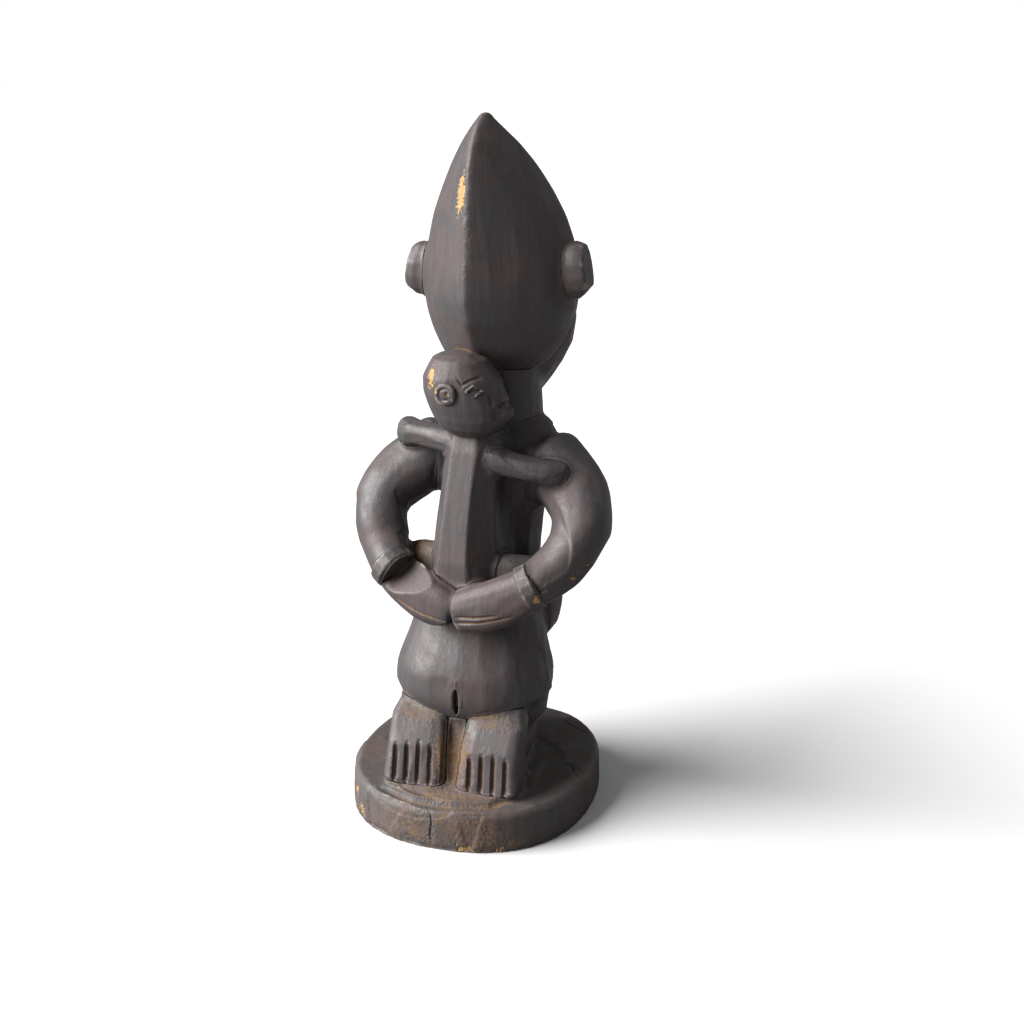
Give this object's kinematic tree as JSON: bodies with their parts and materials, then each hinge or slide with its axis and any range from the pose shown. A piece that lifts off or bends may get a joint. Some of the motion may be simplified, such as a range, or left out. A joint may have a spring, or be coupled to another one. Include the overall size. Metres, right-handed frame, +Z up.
{
  "type": "carved fertility doll",
  "caption": "Dark carved wooden fertility doll: a kneeling mother with a tall crested head holds a child on her back, on a thick oval base.",
  "frame": {"origin": "centre of the base's flat underside, the bottom centre of the base", "axes": "+Z up, the figure faces -Y, her left side is +X"},
  "size_m": [0.1174, 0.119, 0.3006],
  "materials": {
    "dark_wood": "dark brown-black stain with a dull wax sheen over knife facets",
    "worn_wood": "the same stain rubbed thinner on hands, feet, ears and bracelets",
    "dusty_wood": "stain under ochre dust, with bare chips at the rim"
  },
  "bodies": {
    "root": {"base": "dusty_wood", "belly": "dark_wood", "child_body": "dark_wood", "child_head": "dark_wood", "child_left_arm": "dark_wood", "child_left_ear": "worn_wood", "child_left_leg": "dusty_wood", "child_right_arm": "dark_wood", "child_right_ear": "worn_wood", "child_right_leg": "dusty_wood", "coiffure": "dark_wood", "face": "dark_wood", "hips": "dark_wood", "left_bracelet": "worn_wood", "left_breast": "dark_wood", "left_ear": "worn_wood", "left_foot": "worn_wood", "left_forearm": "dark_wood", "left_hand": "worn_wood", "left_shin": "dark_wood", "left_thigh": "dark_wood", "left_upper_arm": "dark_wood", "neck": "dark_wood", "right_bracelet": "worn_wood", "right_breast": "dark_wood", "right_ear": "worn_wood", "right_foot": "worn_wood", "right_forearm": "dark_wood", "right_hand": "worn_wood", "right_shin": "dark_wood", "right_thigh": "dark_wood", "right_upper_arm": "dark_wood", "trunk": "dark_wood"}
  },
  "joints": []
}
